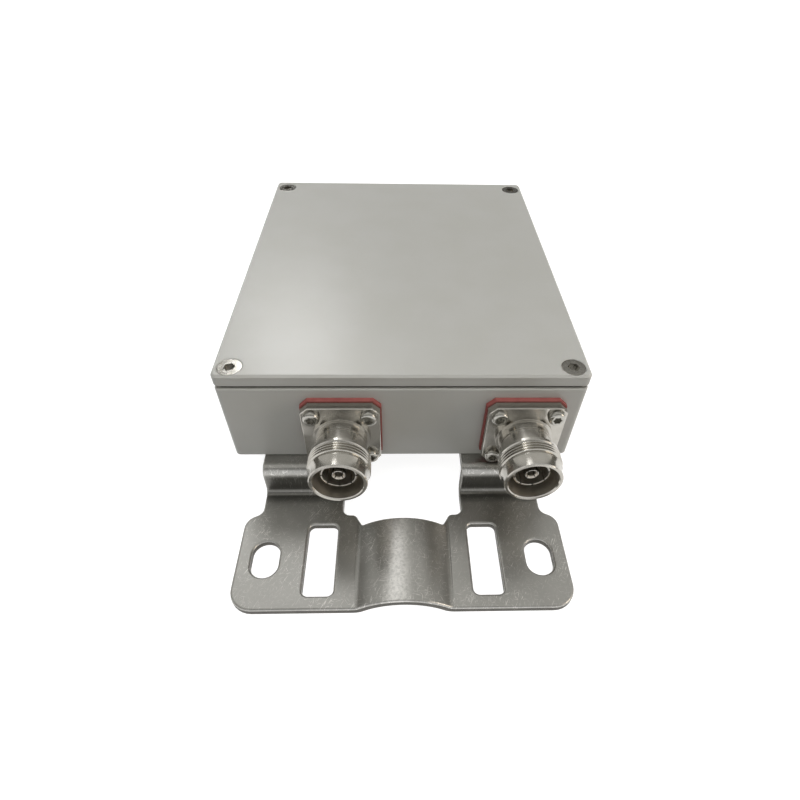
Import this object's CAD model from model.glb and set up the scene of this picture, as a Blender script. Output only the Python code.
# The looks of a cavity diplexer: a powder-coated box with plated coaxial ports and a tumbled
# stainless bracket. Sizes are millimetres unless a comment says otherwise, and MM turns them to metres.
import math

import bpy
from mathutils import Matrix, Vector


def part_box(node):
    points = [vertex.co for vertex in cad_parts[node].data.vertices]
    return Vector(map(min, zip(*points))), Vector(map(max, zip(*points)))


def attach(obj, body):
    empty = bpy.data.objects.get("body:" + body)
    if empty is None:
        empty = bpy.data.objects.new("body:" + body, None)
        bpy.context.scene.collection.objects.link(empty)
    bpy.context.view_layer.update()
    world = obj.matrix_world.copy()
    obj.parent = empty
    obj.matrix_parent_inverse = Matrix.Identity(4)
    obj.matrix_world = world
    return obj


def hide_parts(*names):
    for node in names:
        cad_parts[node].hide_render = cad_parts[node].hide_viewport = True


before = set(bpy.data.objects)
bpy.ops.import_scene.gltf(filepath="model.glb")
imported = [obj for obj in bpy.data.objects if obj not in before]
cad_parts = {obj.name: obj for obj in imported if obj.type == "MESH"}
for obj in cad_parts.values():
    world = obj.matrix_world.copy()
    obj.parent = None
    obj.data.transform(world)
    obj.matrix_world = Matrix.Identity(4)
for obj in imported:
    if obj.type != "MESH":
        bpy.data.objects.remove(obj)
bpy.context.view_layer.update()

MM = 0.001
BODY = "diplexer"


def box_of(node):
    """Low and high corner of a node's box, in millimetres."""
    low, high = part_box(node)
    return low / MM, high / MM


def middle_of(node):
    """Centre of a node's box, in millimetres."""
    low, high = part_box(node)
    return (low + high) / (2 * MM)


def placed(x, y, z):
    """Matrix that moves by so many millimetres."""
    return Matrix.Translation((x * MM, y * MM, z * MM))


FRONT_Y = box_of("housing")[0].y
REAR_Y = box_of("housing")[1].y
FLOOR_Z = box_of("bracket")[0].z


# Colours and nodes

# Noise lies about its middle, and nearly all of it within its low and high value
NOISE_MIDDLE = 0.5
NOISE_LOW = 0.3
NOISE_HIGH = 0.7


def linear(code):
    """Linear colour of an sRGB hex code."""
    parts = [int(code[i:i + 2], 16) / 255 for i in (1, 3, 5)]
    return [c / 12.92 if c <= 0.04045 else ((c + 0.055) / 1.055) ** 2.4 for c in parts] + [1]


def add_node(tree, kind, links=None, **settings):
    """Adds a node. links maps an input to the output that feeds it. Each other setting is the socket
    of that name, or else a property."""
    node = tree.nodes.new(kind)
    for name, value in settings.items():
        socket = node.inputs.get(name.replace("_", " ")) if name[0].isupper() else None
        if socket is not None:
            socket.default_value = value
        else:
            setattr(node, name, value)
    for name, output in (links or {}).items():
        tree.links.new(output, node.inputs[name])
    return node


def new_material(name, **settings):
    """A material with its shader's constant sockets set."""
    material = bpy.data.materials.new(name)
    material.use_nodes = True
    shader = material.node_tree.nodes["Principled BSDF"]
    for socket, value in settings.items():
        shader.inputs[socket.replace("_", " ")].default_value = value
    return material, material.node_tree, shader


def place_of(tree):
    """Object coordinates, which are metres in the frame."""
    return add_node(tree, "ShaderNodeTexCoord").outputs["Object"]


def grain(tree, size, detail=2):
    """Noise with features about size millimetres across."""
    return add_node(
        tree, "ShaderNodeTexNoise", {"Vector": place_of(tree)}, Scale=1 / (size * MM), Detail=detail
    ).outputs["Fac"]


def ramp(tree, factor, low, high, from_low=0.0, from_high=1.0, **settings):
    """Map of a factor, held at its ends, and straight unless the settings say otherwise."""
    return add_node(
        tree, "ShaderNodeMapRange", {"Value": factor},
        **{"From_Min": from_low, "From_Max": from_high, "To_Min": low, "To_Max": high}, **settings
    ).outputs["Result"]


def place_along(tree, axis):
    """One of the Object coordinates, in metres."""
    return add_node(tree, "ShaderNodeSeparateXYZ", {"Vector": place_of(tree)}).outputs[axis]


def blend_colours(tree, factor, first, second):
    """Colour between two colours, each a hex code or an output."""
    mix = add_node(tree, "ShaderNodeMix", data_type="RGBA")
    tree.links.new(factor, mix.inputs["Factor"])
    for slot, colour in (("A", first), ("B", second)):
        socket = [s for s in mix.inputs if s.name == slot and s.type == "RGBA"][0]
        if isinstance(colour, str):
            socket.default_value = linear(colour)
        else:
            tree.links.new(colour, socket)
    return [s for s in mix.outputs if s.type == "RGBA"][0]


def combine(tree, operation, first, second):
    """Two factors, or a factor and a number, brought together."""
    node = add_node(tree, "ShaderNodeMath", operation=operation)
    tree.links.new(first, node.inputs[0])
    if isinstance(second, (int, float)):
        node.inputs[1].default_value = second
    else:
        tree.links.new(second, node.inputs[1])
    return node.outputs["Value"]


def clouded(tree, shader, first, second, size, detail, low=NOISE_LOW, high=NOISE_HIGH):
    """Base colour that drifts between two tones, in clouds about size millimetres across. It returns
    the clouds."""
    cloud = grain(tree, size, detail)
    colour = blend_colours(tree, ramp(tree, cloud, 0, 1, low, high), first, second)
    tree.links.new(colour, shader.inputs["Base Color"])
    return cloud


def uneven_roughness(tree, shader, factor, smoothest, roughest):
    """Roughness that drifts between two values with some noise."""
    rough = ramp(tree, factor, smoothest, roughest, NOISE_LOW, NOISE_HIGH)
    tree.links.new(rough, shader.inputs["Roughness"])


def raise_surface(tree, shader, height, depth, strength, under=None):
    """Bump of the given depth in millimetres, on top of the one under it, if any."""
    links = {"Height": height}
    if under is not None:
        links["Normal"] = under
    bump = add_node(tree, "ShaderNodeBump", links, Strength=strength, Distance=depth * MM)
    tree.links.new(bump.outputs["Normal"], shader.inputs["Normal"])
    return bump.outputs["Normal"]


def stretched(tree, angle, width, length):
    """Coordinates in which noise of unit scale runs in streaks, width by length millimetres."""
    aligned = add_node(
        tree, "ShaderNodeMapping", {"Vector": place_of(tree)},
        vector_type="POINT", Rotation=(0, 0, math.radians(angle))
    ).outputs["Vector"]
    return add_node(
        tree, "ShaderNodeMapping", {"Vector": aligned},
        vector_type="POINT", Scale=(1 / (width * MM), 1 / (length * MM), 1 / (length * MM))
    ).outputs["Vector"]


def scratches(tree, angle, width, length, share):
    """Mask of fine straight scratches in one direction, on about that share of the surface."""
    streaks = add_node(
        tree, "ShaderNodeTexNoise", {"Vector": stretched(tree, angle, width, length)},
        Scale=1.0, Detail=1.0
    ).outputs["Fac"]
    # The smaller the share, the higher the noise has to be
    edge = NOISE_MIDDLE + (NOISE_HIGH - NOISE_MIDDLE) * (1 - 2 * share)
    softness = 0.05
    return ramp(tree, streaks, 0, 1, edge, edge + softness)


# Materials

def powder_coat():
    """Polyester powder coat on cast aluminium: warm pale grey and satin, with a fine orange peel."""
    material, tree, shader = new_material("powder coat", Roughness=0.3)
    clouded(tree, shader, "#B8B8B2", "#BBBBB6", size=17, detail=3, low=0.35, high=0.65)
    peel = grain(tree, size=1.3, detail=2)
    raise_surface(tree, shader, peel, depth=0.03, strength=0.35)
    return material


def white_bronze():
    """White-bronze plating on turned brass: a warm mirror with faint turning marks."""
    material, tree, shader = new_material(
        "white bronze plating", Metallic=1.0, Anisotropic=1.0, Anisotropic_Rotation=0.25
    )
    clouded(tree, shader, "#B0ADA6", "#BBB8B1", size=4, detail=2)
    # The marks run round the port, so they hardly change but along its axis. The tool's own feed is
    # finer and wouldn't show
    mark_width = 0.16
    across = 9
    along = add_node(
        tree, "ShaderNodeMapping", {"Vector": place_of(tree)},
        vector_type="POINT", Scale=(across, 1 / (mark_width * MM), across)
    ).outputs["Vector"]
    marks = add_node(tree, "ShaderNodeTexNoise", {"Vector": along}, Scale=1.0, Detail=2.0).outputs["Fac"]
    uneven_roughness(tree, shader, marks, 0.12, 0.18)
    round_axis = add_node(tree, "ShaderNodeTangent", direction_type="RADIAL", axis="Y")
    tree.links.new(round_axis.outputs["Tangent"], shader.inputs["Tangent"])
    raise_surface(tree, shader, marks, depth=0.002, strength=0.5)
    return material


def reamed_bore():
    """The same plating inside the bores: left matt by the reamer, so that it scatters the light."""
    material, tree, shader = new_material("reamed white bronze", Metallic=1.0)
    cloud = clouded(tree, shader, "#C0BAAF", "#CAC4B9", size=2, detail=3)
    uneven_roughness(tree, shader, cloud, 0.4, 0.5)
    raise_surface(tree, shader, grain(tree, size=0.4), depth=0.004, strength=0.5)
    return material


def burnished_walls(tree):
    """Mask of the legs' upright walls, which the press tool left darker than the flats."""
    plate_ends, walls_begin = -84, -81
    walls_end, bend_begins = -4.5, -2.5
    behind_plate = ramp(tree, place_along(tree, "Y"), 0, 1, plate_ends * MM, walls_begin * MM)
    below_bend = ramp(tree, place_along(tree, "Z"), 1, 0, walls_end * MM, bend_begins * MM)
    return combine(tree, "MULTIPLY", behind_plate, below_bend)


def tumbling_marks(tree, upright):
    """Mask of the short scratches of the tumbler, thicker in some places and few on the upright walls.
    Real ones are finer and wouldn't show."""
    marks = scratches(tree, 28, width=0.16, length=3.5, share=0.05)
    for angle, share in ((-35, 0.045), (71, 0.04), (-80, 0.035), (4, 0.03)):
        layer = scratches(tree, angle, width=0.15, length=3, share=share)
        marks = combine(tree, "MAXIMUM", marks, layer)
    worn = ramp(tree, grain(tree, size=15, detail=2), 0.3, 1, 0.4, 0.62)
    marks = combine(tree, "MULTIPLY", marks, worn)
    return combine(tree, "MULTIPLY", marks, ramp(tree, upright, 1, 0.25))


def rubbed_crest(tree):
    """Mask of the saddle's crest, which stands proud and is rubbed brighter along its length."""
    left_of_middle = 2.2
    bright_to, fades_at = 1.5, 6
    beside = combine(tree, "ADD", place_along(tree, "X"), left_of_middle * MM)
    beside = combine(tree, "ABSOLUTE", beside, 0)
    crest = ramp(tree, beside, 0.6, 0, bright_to * MM, fades_at * MM, interpolation_type="SMOOTHSTEP")
    patchy = ramp(tree, grain(tree, size=0.8, detail=3), 0.4, 1, 0.35, 0.6)
    return combine(tree, "MULTIPLY", crest, patchy)


def tumbled_stainless():
    """Stainless sheet, stamped and tumbled: satin grey with short bright scratches and a rubbed crest."""
    material, tree, shader = new_material("tumbled stainless", Metallic=1.0)
    cloud = grain(tree, size=12, detail=4)
    base = blend_colours(tree, ramp(tree, cloud, 0, 1, NOISE_LOW, NOISE_HIGH), "#A8A7A3", "#B4B3AF")
    upright = burnished_walls(tree)
    base = blend_colours(tree, upright, base, "#7A7975")
    marks = tumbling_marks(tree, upright)
    bright = combine(tree, "MAXIMUM", marks, rubbed_crest(tree))
    tree.links.new(blend_colours(tree, bright, base, "#F4F2EE"), shader.inputs["Base Color"])
    fine = grain(tree, size=0.35, detail=2)
    rough = ramp(tree, cloud, 0.28, 0.34, NOISE_LOW, NOISE_HIGH)
    rough = combine(tree, "ADD", rough, combine(tree, "MULTIPLY", fine, 0.06))
    tree.links.new(rough, shader.inputs["Roughness"])
    under = raise_surface(tree, shader, fine, depth=0.004, strength=0.6)
    raise_surface(tree, shader, marks, depth=0.006, strength=0.6, under=under)
    return material


def sheared_stainless():
    """The blanked edge of the stainless sheet: torn by the die, so dull, dark and a little rough."""
    material, tree, shader = new_material("sheared stainless", Metallic=1.0, Roughness=0.5)
    clouded(tree, shader, "#4E4C48", "#5E5C57", size=2, detail=3)
    raise_surface(tree, shader, grain(tree, size=0.5), depth=0.01, strength=0.5)
    return material


def passivated_screw_steel():
    """Stainless screws, cold headed and passivated: bright, with soft marks."""
    material, tree, shader = new_material("passivated stainless", Metallic=1.0)
    cloud = clouded(tree, shader, "#A3A19A", "#B4B2AC", size=0.8, detail=3)
    uneven_roughness(tree, shader, cloud, 0.16, 0.27)
    raise_surface(tree, shader, grain(tree, size=0.3), depth=0.003, strength=0.5)
    return material


def silver_plate():
    """Silver plating on milled aluminium: pale and satin, with faint cutter marks."""
    material, tree, shader = new_material("silver plating", Metallic=1.0)
    cloud = clouded(tree, shader, "#E2DFD8", "#ECEAE4", size=6, detail=2)
    uneven_roughness(tree, shader, cloud, 0.24, 0.34)
    arc_width = 3
    arcs = add_node(
        tree, "ShaderNodeTexWave", {"Vector": place_of(tree)}, wave_type="RINGS",
        Scale=1 / (arc_width * MM), Distortion=1.5
    ).outputs["Fac"]
    raise_surface(tree, shader, arcs, depth=0.002, strength=0.4)
    return material


def turned_brass():
    """Free-cutting brass, turned and left bare: warm yellow with a fine lathe grain."""
    material, tree, shader = new_material("turned brass", Metallic=1.0)
    clouded(tree, shader, "#CFB26C", "#DBC07E", size=3, detail=2)
    # The lathe's grain is finer and wouldn't show
    ring_width = 1.6
    rings = add_node(
        tree, "ShaderNodeTexWave", {"Vector": place_of(tree)}, wave_type="BANDS", bands_direction="Z",
        Scale=1 / (ring_width * MM), Distortion=0.4
    ).outputs["Fac"]
    tree.links.new(ramp(tree, rings, 0.2, 0.3), shader.inputs["Roughness"])
    raise_surface(tree, shader, rings, depth=0.01, strength=0.4)
    return material


def rubber(name, dark, light):
    """Silicone rubber sheet, cut to shape: matt, with a faint cloudy bloom."""
    material, tree, shader = new_material(name, Roughness=0.75)
    clouded(tree, shader, dark, light, size=2.5, detail=3)
    raise_surface(tree, shader, grain(tree, size=0.4), depth=0.02, strength=0.3)
    return material


def filled_insulator():
    """Filled fluoropolymer bead: a waxy brownish grey, turned, a little cloudy."""
    material, tree, shader = new_material("filled fluoropolymer", Roughness=0.5)
    clouded(tree, shader, "#6E655B", "#7A7166", size=1.5, detail=3)
    raise_surface(tree, shader, grain(tree, size=0.5), depth=0.01, strength=0.3)
    return material


POWDER = powder_coat()
PLATING = white_bronze()
BORE = reamed_bore()
STAINLESS = tumbled_stainless()
SHEARED = sheared_stainless()
SCREW_STEEL = passivated_screw_steel()
SILVER = silver_plate()
BRASS = turned_brass()
RED_RUBBER = rubber("red silicone rubber", "#874642", "#95524C")
GREY_RUBBER = rubber("grey silicone rubber", "#5E5D59", "#686763")
INSULATOR = filled_insulator()


# Modelling by operators

# Points nearer than this are one point
MERGE = 0.0005


def deselect():
    """Leaves nothing selected, in object mode."""
    bpy.ops.object.select_all(action="DESELECT")


def pick(*objects):
    """Selects these objects alone, with the last one active."""
    deselect()
    for thing in objects:
        thing.select_set(True)
    bpy.context.view_layer.objects.active = objects[-1]


def select_parts(thing, kind, test):
    """Enters edit mode with the vertices, edges or faces that pass the test selected."""
    pick(thing)
    bpy.ops.object.mode_set(mode="EDIT")
    bpy.ops.mesh.select_mode(type=kind)
    bpy.ops.mesh.select_all(action="DESELECT")
    bpy.ops.object.mode_set(mode="OBJECT")
    mesh = thing.data
    parts = {"VERT": mesh.vertices, "EDGE": mesh.edges, "FACE": mesh.polygons}[kind]
    for part in parts:
        part.select = test(mesh, part)
    bpy.ops.object.mode_set(mode="EDIT")


def object_mode():
    """Leaves edit mode."""
    bpy.ops.object.mode_set(mode="OBJECT")


def edge_ends(mesh, edge):
    """The two ends of an edge, in millimetres."""
    return [mesh.vertices[i].co / MM for i in edge.vertices]


def apply_place(thing):
    """Puts the object's place into its mesh."""
    pick(thing)
    bpy.ops.object.transform_apply(location=True, rotation=True, scale=True)


def outward(thing):
    """Merges doubles and turns all faces outwards."""
    select_parts(thing, "VERT", lambda mesh, part: True)
    bpy.ops.mesh.remove_doubles(threshold=MERGE * MM)
    bpy.ops.mesh.normals_make_consistent(inside=False)
    object_mode()


def apply_modifier(thing, kind, **settings):
    """Adds a modifier with these settings and applies it."""
    pick(thing)
    modifier = thing.modifiers.new(kind.lower(), kind)
    for name, value in settings.items():
        setattr(modifier, name, value)
    bpy.ops.object.modifier_apply(modifier=modifier.name)


def carve(thing, cutter, operation="DIFFERENCE"):
    """Cuts, or joins, a second object's shape and deletes that object."""
    apply_modifier(thing, "BOOLEAN", operation=operation, solver="EXACT", object=cutter)
    bpy.data.objects.remove(cutter, do_unlink=True)


def round_edges(thing, width, angle=40, segments=2, clamp=True):
    """Rounds the edges sharper than angle. A clamp keeps the rounding within the shortest edges."""
    apply_modifier(
        thing, "BEVEL", width=width * MM, segments=segments, limit_method="ANGLE",
        angle_limit=math.radians(angle), use_clamp_overlap=clamp, harden_normals=False
    )


def smooth(thing, angle=35):
    """Shades curves smoothly and keeps broad faces flat."""
    pick(thing)
    bpy.ops.object.shade_smooth_by_angle(angle=math.radians(angle))
    apply_modifier(thing, "WEIGHTED_NORMAL", mode="FACE_AREA", weight=50, keep_sharp=True)


def turned(stations, sides=96, hollow=False):
    """A body turned about Z. Each station is a height and a radius, from the first ring to the last.
    A hollow body joins its last ring to its first, and any other is capped at both ends."""
    height, radius = stations[0]
    deselect()
    bpy.ops.mesh.primitive_circle_add(vertices=sides, radius=radius * MM, location=(0, 0, height * MM))
    thing = bpy.context.object
    apply_place(thing)
    bpy.ops.object.mode_set(mode="EDIT")
    bpy.ops.mesh.select_mode(type="EDGE")
    bpy.ops.mesh.select_all(action="SELECT")
    if not hollow:
        bpy.ops.mesh.edge_face_add()
        bpy.ops.mesh.select_mode(type="EDGE")
    for (z0, r0), (z1, r1) in zip(stations, stations[1:]):
        bpy.ops.mesh.extrude_edges_move(TRANSFORM_OT_translate={"value": (0, 0, (z1 - z0) * MM)})
        bpy.ops.transform.resize(value=(r1 / r0, r1 / r0, 1), center_override=(0, 0, z1 * MM))
    if not hollow:
        bpy.ops.mesh.edge_face_add()
    object_mode()
    outward(thing)
    return thing


def bar(width, depth, height, centre):
    """A block, as a start for a shape."""
    deselect()
    bpy.ops.mesh.primitive_cube_add(size=1, location=[c * MM for c in centre])
    thing = bpy.context.object
    thing.scale = (width * MM, depth * MM, height * MM)
    apply_place(thing)
    return thing


def six_lobe_drill(radius, depth, top):
    """Cutter for a six-lobe socket, whose points reach the radius. It runs on past the top."""
    corners = 12
    waist = 0.72
    lobe_rounding = 0.16
    overrun = 0.5
    deselect()
    bpy.ops.mesh.primitive_cylinder_add(
        vertices=corners, radius=radius * MM, depth=(depth + overrun) * MM,
        location=(0, 0, (top + (overrun - depth) / 2) * MM)
    )
    drill = bpy.context.object
    apply_place(drill)

    def between_lobes(mesh, vertex):
        """Every second corner."""
        turn = math.degrees(math.atan2(vertex.co.y, vertex.co.x)) / (360 // corners)
        return round(turn) % 2 == 1

    select_parts(drill, "VERT", between_lobes)
    bpy.ops.transform.resize(value=(waist, waist, 1), center_override=(0, 0, 0))
    object_mode()

    def upright(mesh, edge):
        """Edges that run from the bottom to the top."""
        a, b = edge_ends(mesh, edge)
        return abs(a.z - b.z) > depth / 2

    select_parts(drill, "EDGE", upright)
    bpy.ops.mesh.bevel(offset=radius * lobe_rounding * MM, segments=3, affect="EDGES")
    object_mode()
    return drill


def finish_piece(thing, name, material, nodes, body=BODY):
    """Names a piece, gives it its finish and says what it rides on and stands for."""
    thing.name = name
    thing.data.name = name
    thing.data.materials.clear()
    thing.data.materials.append(material)
    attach(thing, body)
    if nodes:
        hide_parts(*nodes)
    return thing


def copy_of(thing):
    """A copy with its own mesh."""
    double = thing.copy()
    double.data = thing.data.copy()
    bpy.context.scene.collection.objects.link(double)
    return double


def moved_copy(thing, matrix):
    """A copy whose place is in its own mesh."""
    double = copy_of(thing)
    double.data.transform(matrix)
    return double


def second_finish(thing, material, chosen):
    """Gives the faces that pass the test a finish of their own. The test gets a centre and a normal."""
    thing.data.materials.append(material)
    for face in thing.data.polygons:
        if chosen(face.center, face.normal):
            face.material_index = 1


def softened(node, name, material, width, segments=3, clamp=True):
    """A copy of a CAD node with its flat faces merged and its edges rounded, in place of the node."""
    flat_within = 0.3
    sharp_from = 30
    thing = copy_of(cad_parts[node])
    for key in [k for k in thing.keys() if k.startswith("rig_")]:
        del thing[key]
    thing.parent = None
    pick(thing)
    if thing.data.has_custom_normals:
        bpy.ops.mesh.customdata_custom_splitnormals_clear()
    select_parts(thing, "VERT", lambda mesh, part: True)
    bpy.ops.mesh.remove_doubles(threshold=MERGE * MM)
    bpy.ops.mesh.dissolve_limited(angle_limit=math.radians(flat_within))
    object_mode()
    round_edges(thing, width, sharp_from, segments, clamp)
    smooth(thing)
    return finish_piece(thing, name, material, [node])


# How much of its length a normal has along a direction before the face counts as turned that way
FACING = 0.5
# The same for a wall, whose normal has less than this along Z
LEANING = 0.3


# Ports, each built with its mouth along Z and the box face at Z = 0

SPIGOT_L = 6.0
SPIGOT_R = 5.9
SEAL_T = 1.65
FLANGE_W = 25.4
FLANGE_T = 3.0
FLANGE_CORNER = 2.4
FLANGE_ROUNDING = 0.3
SCREW_PITCH = 18.3
BOSS_R = 9.35
BOSS_L = 1.5
BARREL_R = 8.3
BARREL_L = 7.6
GROOVE_BACK = 4.1
GROOVE_L = 0.4
GROOVE_DEPTH = 0.35
THREAD_L = 6.1
THREAD_R = 9.95
LAND_R = 9.7
THREAD_CORE_R = 9.3
THREAD_PITCH = 1.0
THREAD_START = 1.5
THREAD_TURNS = 4.0
THREAD_STEPS = 72
RIDGE_SINK = 0.15
RIDGE_INSET = 0.35
RIDGE_FOOT = 0.9
RIDGE_CREST = 0.16
TAPER_L = 1.75
NOSE_R = 9.1
NOSE_L = 2.6
RIM_BREAK = 0.3
CUP_R = 7.8
CUP_DEPTH = 9.5
CUP_BREAK = 0.3
SLEEVE_R = 5.75
SLEEVE_BORE_R = 5.1
SLEEVE_RECESS = 3.3
SLEEVE_SLOTS = 8
SLEEVE_SLOT_W = 0.5
SLEEVE_SLOT_L = 6.0
BEAD_STEP_L = 4.0
BEAD_REAR_R = 4.2
HOLE_R = 1.65
TURNED_EDGE = 0.12
FLANGE_OVERLAP = 0.8
SLOT_OVERRUN = 0.3
# How far a cutter runs on past what it cuts
OVERRUN = 1
# How near to a face, or past a radius, a point still counts as on it
NEAR = 0.01
NEAR_RADIUS = 0.05

FLANGE_TOP = SEAL_T + FLANGE_T
BOSS_TOP = FLANGE_TOP + BOSS_L
THREAD_AT = BOSS_TOP + BARREL_L
TAPER_AT = THREAD_AT + THREAD_L
NOSE_AT = TAPER_AT + TAPER_L
TIP = NOSE_AT + NOSE_L
SLEEVE_TIP = TIP - SLEEVE_RECESS

PORTS = {
    "low_port": {"face": FRONT_Y, "turn": 0.0},
    "high_port": {"face": FRONT_Y, "turn": 13.0},
    "common_port": {"face": REAR_Y, "turn": 5.0},
}


def port_place(port):
    """Matrix that takes a port from its own frame to the box."""
    centre = middle_of(port + "_seal")
    spot = Vector((centre.x, PORTS[port]["face"], centre.z)) * MM
    half_turn = 0 if PORTS[port]["face"] < 0 else math.pi
    facing = Matrix.Rotation(half_turn, 4, "Z") @ Matrix.Rotation(math.pi / 2, 4, "X")
    return Matrix.Translation(spot) @ facing


def port_profile():
    """Rings of the turned body, from the spigot over the outside into the cup and back through the bore."""
    groove = FLANGE_TOP + GROOVE_BACK
    core_from = THREAD_AT + THREAD_START
    core_step = LAND_R - THREAD_CORE_R
    return [
        (-SPIGOT_L, SPIGOT_R), (FLANGE_TOP - FLANGE_T / 2, SPIGOT_R), (FLANGE_TOP - FLANGE_T / 2, BOSS_R),
        (BOSS_TOP, BOSS_R), (BOSS_TOP, BARREL_R), (groove, BARREL_R),
        (groove, BARREL_R - GROOVE_DEPTH), (groove + GROOVE_L, BARREL_R - GROOVE_DEPTH),
        (groove + GROOVE_L, BARREL_R), (THREAD_AT, BARREL_R), (THREAD_AT, LAND_R),
        (core_from - core_step, LAND_R), (core_from, THREAD_CORE_R),
        (TAPER_AT - core_step / 2, THREAD_CORE_R), (TAPER_AT + core_step / 2, LAND_R), (NOSE_AT, NOSE_R),
        (TIP - RIM_BREAK, NOSE_R), (TIP, NOSE_R - RIM_BREAK), (TIP, CUP_R + CUP_BREAK),
        (TIP - CUP_BREAK, CUP_R), (TIP - CUP_DEPTH, CUP_R), (TIP - CUP_DEPTH, SLEEVE_R),
        (SLEEVE_TIP, SLEEVE_R), (SLEEVE_TIP, SLEEVE_BORE_R), (BEAD_STEP_L, SLEEVE_BORE_R),
        (BEAD_STEP_L, BEAD_REAR_R), (-SPIGOT_L, BEAD_REAR_R), (-SPIGOT_L, SPIGOT_R),
    ]


def thread_ridge():
    """The coupling thread: a ridge wound round the core, closed at both ends."""
    root_r = THREAD_CORE_R - RIDGE_SINK
    start = THREAD_AT + THREAD_START + RIDGE_INSET
    steps = round(THREAD_STEPS * THREAD_TURNS)
    deselect()
    bpy.ops.mesh.primitive_plane_add(size=1, rotation=(math.pi / 2, 0, 0))
    ridge = bpy.context.object
    ridge.scale = ((THREAD_R - root_r) * MM, THREAD_PITCH * RIDGE_FOOT * MM, 1)
    ridge.location = ((THREAD_R + root_r) / 2 * MM, 0, start * MM)
    apply_place(ridge)
    select_parts(ridge, "VERT", lambda mesh, vertex: vertex.co.x > (THREAD_R + root_r) / 2 * MM)
    bpy.ops.transform.resize(value=(1, 1, RIDGE_CREST), center_override=(THREAD_R * MM, 0, start * MM))
    bpy.ops.mesh.select_all(action="SELECT")
    bpy.ops.mesh.delete(type="ONLY_FACE")
    object_mode()
    apply_modifier(
        ridge, "SCREW", axis="Z", angle=2 * math.pi * THREAD_TURNS,
        screw_offset=THREAD_PITCH * THREAD_TURNS * MM, iterations=1,
        steps=steps, render_steps=steps, use_smooth_shade=False
    )
    select_parts(ridge, "EDGE", lambda mesh, edge: False)
    bpy.ops.mesh.select_non_manifold(extend=False)
    bpy.ops.mesh.edge_face_add()
    object_mode()
    outward(ridge)
    return ridge


CORNERS = [(sx, sy) for sx in (-1, 1) for sy in (-1, 1)]


def flange():
    """The square flange, chamfered at its corners, with rounded front edges and its four holes."""
    plate = bar(FLANGE_W, FLANGE_W, FLANGE_T, (0, 0, SEAL_T + FLANGE_T / 2))

    def upright(mesh, edge):
        """The four edges at the corners."""
        a, b = edge_ends(mesh, edge)
        return abs(a.z - b.z) > FLANGE_T / 2

    select_parts(plate, "EDGE", upright)
    bpy.ops.mesh.bevel(offset=FLANGE_CORNER * MM, segments=1, affect="EDGES")
    object_mode()

    def front_rim(mesh, edge):
        """The edges round the front face."""
        return all(end.z > FLANGE_TOP - NEAR for end in edge_ends(mesh, edge))

    select_parts(plate, "EDGE", front_rim)
    bpy.ops.mesh.bevel(offset=FLANGE_ROUNDING * MM, segments=3, affect="EDGES")
    object_mode()
    for sx, sy in CORNERS:
        hole = turned([(SEAL_T - OVERRUN, HOLE_R), (FLANGE_TOP + OVERRUN, HOLE_R)], sides=32)
        hole.data.transform(placed(sx * SCREW_PITCH / 2, sy * SCREW_PITCH / 2, 0))
        carve(plate, hole)
    return plate


def port_body(turn):
    """A port's body, with the sleeve's slots turned by so many degrees."""
    body = turned(port_profile(), hollow=True)
    round_edges(body, TURNED_EDGE, angle=50)
    carve(body, thread_ridge(), "UNION")
    plate = flange()
    bore_r = SPIGOT_R - FLANGE_OVERLAP
    bore = turned([(SEAL_T - OVERRUN, bore_r), (FLANGE_TOP + OVERRUN, bore_r)])
    carve(plate, bore)
    carve(body, plate, "UNION")
    for i in range(SLEEVE_SLOTS // 2):
        slot = bar(
            SLEEVE_SLOT_W, 2 * SLEEVE_R + 2 * SLOT_OVERRUN, SLEEVE_SLOT_L + OVERRUN,
            (0, 0, SLEEVE_TIP + (OVERRUN - SLEEVE_SLOT_L) / 2)
        )
        slot.data.transform(Matrix.Rotation(math.radians(turn + i * 360 / SLEEVE_SLOTS), 4, "Z"))
        carve(body, slot)
    outward(body)
    smooth(body, angle=32)
    return body


def build_ports():
    """The three ports, each with its body, contact and seal. The beads keep the CAD's shape."""
    for port, facts in PORTS.items():
        place = port_place(port)
        back = place.inverted()

        def in_bore(centre, normal):
            """Walls no wider than the cup that face the port's axis."""
            spot = back @ centre
            facing = back.to_3x3() @ normal
            inward = facing.xy.dot(spot.xy.normalized()) < -FACING
            return inward and spot.xy.length < (CUP_R + NEAR_RADIUS) * MM

        body = port_body(facts["turn"])
        body.data.transform(place)
        finish_piece(body, port + "_turned_body", PLATING, [port + "_body"])
        second_finish(body, BORE, in_bore)
        contact = softened(
            port + "_contact", port + "_slotted_contact", PLATING, width=0.1, segments=2
        )
        second_finish(contact, BORE, in_bore)
        softened(port + "_seal", port + "_soft_seal", RED_RUBBER, width=0.25, segments=2)


# Screws, each built with the seat of its head at Z = 0

# The dome of a pan head, as shares of its height and radius
DOME = ((0.5, 1), (0.72, 0.95), (0.88, 0.86), (0.97, 0.74), (1, 0.6))
PAN_HEAD_EDGE = 0.12
PAN_SOCKET_SHARE = 0.8
FLUSH_SOCKET_SHARE = 0.7


def shank_end(shank_r, length):
    """Rings of a shank's end, which narrows to its tip."""
    return [(-length, shank_r * 0.8), (-length + shank_r * 0.3, shank_r)]


def pan_head_screw(shank_r, shank_l, head_r, head_h, socket_r):
    """Pan-head screw with a domed head and a six-lobe socket."""
    screw = turned(
        shank_end(shank_r, shank_l)
        + [(0, shank_r), (0, head_r - PAN_HEAD_EDGE), (PAN_HEAD_EDGE, head_r)]
        + [(head_h * height, head_r * radius) for height, radius in DOME],
        sides=48
    )
    carve(screw, six_lobe_drill(socket_r, head_h * PAN_SOCKET_SHARE, head_h))
    outward(screw)
    smooth(screw, angle=30)
    return screw


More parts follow.
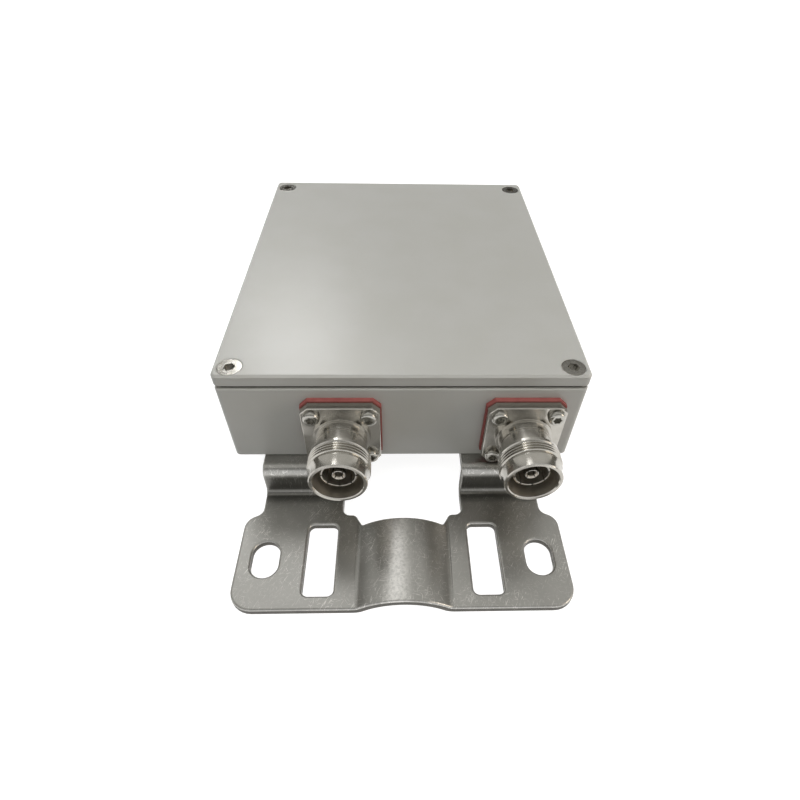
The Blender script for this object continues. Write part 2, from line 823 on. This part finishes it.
def flush_screw(shank_r, length, head_r, socket_r):
    """Countersunk screw with the top of its head at Z = 0."""
    sink = head_r - shank_r
    rim = 0.15
    screw = turned(
        shank_end(shank_r, length)
        + [(-sink - rim, shank_r), (-rim, head_r), (-rim / 3, head_r), (0, head_r - rim)],
        sides=64
    )
    carve(screw, six_lobe_drill(socket_r, sink * FLUSH_SOCKET_SHARE, 0))
    outward(screw)
    smooth(screw, angle=30)
    return screw


PORT_HEAD_R = 2.75
PORT_HEAD_H = 2.0
BRACKET_HEAD_R = 3.9
BRACKET_HEAD_H = 2.4
BRACKET_SCREW_PITCH = 16.0
COVER_HEAD_R = 3.85


def socket_turn(step, count):
    """Matrix that turns a screw's socket, so that no two screws of a row stand alike."""
    return Matrix.Rotation(math.radians(step * count), 4, "Z")


def place_screws(model, name, node, places):
    """Puts a copy of a screw at each place, and deletes the screw they are copied from."""
    for count, place in enumerate(places, 1):
        screw = moved_copy(model, place)
        finish_piece(screw, "%s_%d" % (name, count), SCREW_STEEL, [node])
    bpy.data.objects.remove(model, do_unlink=True)


def build_port_screws():
    """Four pan-head screws in the flange of each port."""
    model = pan_head_screw(shank_r=1.5, shank_l=8.0, head_r=PORT_HEAD_R, head_h=PORT_HEAD_H, socket_r=1.6)
    places = []
    for port in PORTS:
        for sx, sy in CORNERS:
            at = placed(sx * SCREW_PITCH / 2, sy * SCREW_PITCH / 2, FLANGE_TOP)
            places.append(port_place(port) @ at @ socket_turn(23.0, len(places) + 1))
    place_screws(model, "port_screw", "port_screws", places)


def build_cover_screws():
    """Four countersunk screws in the corners of the cover."""
    model = flush_screw(shank_r=2.0, length=12.0, head_r=COVER_HEAD_R, socket_r=2.1)
    low, high = box_of("cover_screws")
    places = []
    for x in (low.x + COVER_HEAD_R, high.x - COVER_HEAD_R):
        for y in (low.y + COVER_HEAD_R, high.y - COVER_HEAD_R):
            places.append(placed(x, y, high.z) @ socket_turn(17.0, len(places) + 1))
    place_screws(model, "cover_screw", "cover_screws", places)


def build_bracket_screws():
    """Four pan-head screws that point upwards through the bracket's legs."""
    model = pan_head_screw(
        shank_r=2.0, shank_l=8.0, head_r=BRACKET_HEAD_R, head_h=BRACKET_HEAD_H, socket_r=1.95
    )
    low, high = box_of("bracket_screws")
    outer = high.x - BRACKET_HEAD_R
    heads_down = Matrix.Rotation(math.pi, 4, "X")
    places = []
    for x in (-outer, BRACKET_SCREW_PITCH - outer, outer - BRACKET_SCREW_PITCH, outer):
        at = placed(x, (low.y + high.y) / 2, low.z + BRACKET_HEAD_H)
        places.append(at @ heads_down @ socket_turn(29.0, len(places) + 1))
    place_screws(model, "bracket_screw", "bracket_screws", places)


# Finishes of the nodes that stay as they are

def dress_nodes():
    """Gives its finish to each node that no new piece stands for."""
    finishes = {
        "housing": POWDER,
        "tuning_plate": SILVER,
        "low_tap_wire": SILVER, "high_tap_wire": SILVER, "junction_wire": SILVER,
        "tuning_plate_screws": SCREW_STEEL, "resonator_screws": SCREW_STEEL, "bracket_washers": SCREW_STEEL,
        "tuning_lock_nuts": BRASS, "coupling_lock_nuts": BRASS,
        "low_port_bead": INSULATOR, "high_port_bead": INSULATOR, "common_port_bead": INSULATOR,
        "cover_seal": GREY_RUBBER,
    }
    for name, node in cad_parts.items():
        material = finishes.get(name)
        if "_resonator_" in name:
            material = SILVER
        if "_tuning_screw_" in name or "_coupling_screw_" in name:
            material = BRASS
        if material is None:
            continue
        if not node.material_slots:
            node.data.materials.append(material)
        for slot in node.material_slots:
            slot.material = material


# Camera and light

PICTURE = 800
FOCAL_PIXELS = 523.66
SENSOR = 36.0
CENTRE_X_PIXELS = 409.53
CENTRE_Y_PIXELS = 427.32
EYE = Vector((-2.67, -191.78, 143.57))
ELEVATION = math.radians(46.99)
ROLL = math.radians(-1.58)
YAW = math.radians(-2.38)
NEAREST_SEEN = 5.0


def place_camera():
    """The photograph's view: a close, wide lens from above and in front."""
    right = Vector((1, 0, 0))
    down = Vector((0, -math.sin(ELEVATION), -math.cos(ELEVATION)))
    ahead = Vector((0, math.cos(ELEVATION), -math.sin(ELEVATION)))
    yaw = Matrix.Rotation(YAW, 3, "Z")
    across = yaw @ (math.cos(ROLL) * right + math.sin(ROLL) * down)
    below = yaw @ (math.cos(ROLL) * down - math.sin(ROLL) * right)
    ahead = yaw @ ahead
    lens = bpy.data.cameras.new("camera")
    lens.sensor_width = SENSOR
    lens.lens = FOCAL_PIXELS / PICTURE * SENSOR
    lens.shift_x = -(CENTRE_X_PIXELS - PICTURE / 2) / PICTURE
    lens.shift_y = (CENTRE_Y_PIXELS - PICTURE / 2) / PICTURE
    lens.clip_start = NEAREST_SEEN * MM
    camera = bpy.data.objects.new("camera", lens)
    bpy.context.scene.collection.objects.link(camera)
    axes = Matrix((across, -below, -ahead)).transposed().to_4x4()
    camera.matrix_world = Matrix.Translation(EYE * MM) @ axes
    bpy.context.scene.camera = camera


def area_light(name, direction, distance, width, length, power, colour="#FFFFFF", mirrored=True):
    """A soft panel that faces the box, in metres and watts. Metal shows it only where it is mirrored."""
    lamp = bpy.data.lights.new(name, "AREA")
    lamp.shape = "RECTANGLE"
    lamp.size = width
    lamp.size_y = length
    lamp.energy = power
    lamp.color = linear(colour)[:3]
    thing = bpy.data.objects.new(name, lamp)
    towards = Vector(direction).normalized()
    thing.location = towards * distance
    thing.rotation_euler = towards.to_track_quat("Z", "Y").to_euler()
    thing.visible_camera = False
    thing.visible_glossy = mirrored
    bpy.context.scene.collection.objects.link(thing)


# The studio that mirrors see, in metres
CEILING_Z = 1.2
ROOM_HALF = 3
ROOM_FRONT = -1.4
ROOM_BACK = 4


def mirror_card(name, low, high, material):
    """A card between two corners, in metres. Only mirrors see it: it gives metal its darker parts."""
    deselect()
    size = [b - a for a, b in zip(low, high)]
    middle = [(a + b) / 2 for a, b in zip(low, high)]
    upright = size[0] == 0
    bpy.ops.mesh.primitive_plane_add(
        size=1, location=middle, rotation=(0, math.pi / 2 if upright else 0, 0)
    )
    card = bpy.context.object
    card.name = name
    card.scale = (size[2] if upright else size[0], size[1], 1)
    apply_place(card)
    card.data.materials.append(material)
    card.visible_camera = False
    card.visible_diffuse = False
    card.visible_shadow = False
    card.visible_transmission = False


def light_patch(tree, centre, wide, deep):
    """A soft bright oval on the ceiling, by its centre and half sizes in metres."""
    shifted = add_node(
        tree, "ShaderNodeMapping", {"Vector": place_of(tree)}, vector_type="TEXTURE",
        Location=(centre[0], centre[1], CEILING_Z), Scale=(wide, deep, 1)
    ).outputs["Vector"]
    far = add_node(tree, "ShaderNodeVectorMath", {0: shifted}, operation="LENGTH").outputs["Value"]
    return ramp(tree, far, 1, 0, 0.35, 1, interpolation_type="SMOOTHSTEP")


def studio_ceiling():
    """Painted studio ceiling as mirrors see it: dark but for a pale stretch overhead, with two bright
    ovals in and behind that stretch."""
    material, tree, shader = new_material("studio ceiling", Roughness=1.0)
    shader.inputs["Base Color"].default_value = linear("#000000")
    along = place_along(tree, "Y")
    behind = ramp(tree, along, 0, 1, 1.0, 1.5, interpolation_type="SMOOTHSTEP")
    before = ramp(tree, along, 1, 0, -0.9, -0.5, interpolation_type="SMOOTHSTEP")
    tone = blend_colours(tree, combine(tree, "MAXIMUM", behind, before), "#D6D5D1", "#4A4844")
    near_oval = light_patch(tree, (-0.28, 0.62), wide=0.3, deep=0.25)
    far_oval = light_patch(tree, (-0.2, 1.1), wide=0.5, deep=0.3)
    patches = combine(tree, "MAXIMUM", near_oval, far_oval)
    tree.links.new(blend_colours(tree, patches, tone, "#FFFFFF"), shader.inputs["Emission Color"])
    tree.links.new(ramp(tree, patches, 1.0, 2.2), shader.inputs["Emission Strength"])
    return material


def studio_wall():
    """Dim studio wall as mirrors see it."""
    material, tree, shader = new_material("studio wall", Roughness=1.0)
    shader.inputs["Base Color"].default_value = linear("#000000")
    tone = blend_colours(tree, grain(tree, size=400), "#7A7872", "#63615B")
    tree.links.new(tone, shader.inputs["Emission Color"])
    shader.inputs["Emission Strength"].default_value = 1.0
    return material


def seen_white(tree, dim, bright):
    """Strength that is bright to the camera and in mirrors, and dim as light on the object."""
    path = add_node(tree, "ShaderNodeLightPath").outputs
    seen = combine(tree, "MAXIMUM", path["Is Camera Ray"], path["Is Glossy Ray"])
    seen = combine(tree, "MAXIMUM", seen, path["Is Transmission Ray"])
    return ramp(tree, seen, dim, bright)


FLOOR_SIZE = 8
FLOOR_GLOW = 0.9
SURROUND_LIGHT = 0.22


def build_stage():
    """A white floor that keeps a soft shadow, and a white surround."""
    deselect()
    bpy.ops.mesh.primitive_plane_add(size=FLOOR_SIZE, location=(0, 0, FLOOR_Z * MM))
    floor = bpy.context.object
    floor.name = "floor"
    material, tree, shader = new_material("white floor", Roughness=0.9)
    shader.inputs["Base Color"].default_value = linear("#A09F9D")
    shader.inputs["Emission Color"].default_value = linear("#FFFFFF")
    tree.links.new(seen_white(tree, 0, FLOOR_GLOW), shader.inputs["Emission Strength"])
    floor.data.materials.append(material)
    world = bpy.data.worlds.new("surround")
    bpy.context.scene.world = world
    world.use_nodes = True
    back = world.node_tree.nodes["Background"]
    back.inputs["Color"].default_value = linear("#FFFFFF")
    world.node_tree.links.new(seen_white(world.node_tree, SURROUND_LIGHT, 1.0), back.inputs["Strength"])


def build_light():
    """Three panels that light the box, and the ceiling and walls that its metal mirrors."""
    area_light(
        "ceiling panel", direction=(-0.22, 0.72, 0.66), distance=1.13, width=0.22, length=0.2, power=1.3
    )
    area_light(
        "overhead softbox", direction=(0, -0.27, 1), distance=1.2, width=0.9, length=0.9, power=9.0,
        mirrored=False
    )
    area_light(
        "side panel", direction=(0.85, -0.35, 0.4), distance=1.2, width=0.3, length=0.6, power=3.0,
        colour="#FFF0DE"
    )
    mirror_card(
        "ceiling card", (-ROOM_HALF, ROOM_FRONT, CEILING_Z), (ROOM_HALF, ROOM_BACK, CEILING_Z),
        studio_ceiling()
    )
    for name, side in (("left card", -ROOM_HALF), ("right card", ROOM_HALF)):
        mirror_card(name, (side, ROOM_FRONT, 0), (side, ROOM_BACK, CEILING_Z), studio_wall())


# How far in front of the box the legs' upright walls reach
RISER_ZONE = 10.0


def build_bracket():
    """The bent sheet, with its edges rounded by the die and the tumbler."""
    sheet = softened(
        "bracket", "bracket_sheet", STAINLESS, width=0.8, segments=5, clamp=False
    )

    def blanked_wall(centre, normal):
        """Upright faces, but for the broad ones of the legs, which are the sheet's own skin."""
        in_riser = abs(normal.y) > FACING and centre.y / MM > FRONT_Y - RISER_ZONE
        return abs(normal.z) < LEANING and not in_riser

    second_finish(sheet, SHEARED, blanked_wall)


def build_all():
    """All pieces that stand for nodes, and then the finish of the nodes that are left."""
    softened("outer_cover", "outer_cover_lid", POWDER, width=0.18)
    build_bracket()
    build_ports()
    build_port_screws()
    build_cover_screws()
    build_bracket_screws()
    dress_nodes()


place_camera()
build_stage()
build_light()
build_all()

bpy.context.scene.view_settings.view_transform = "Standard"
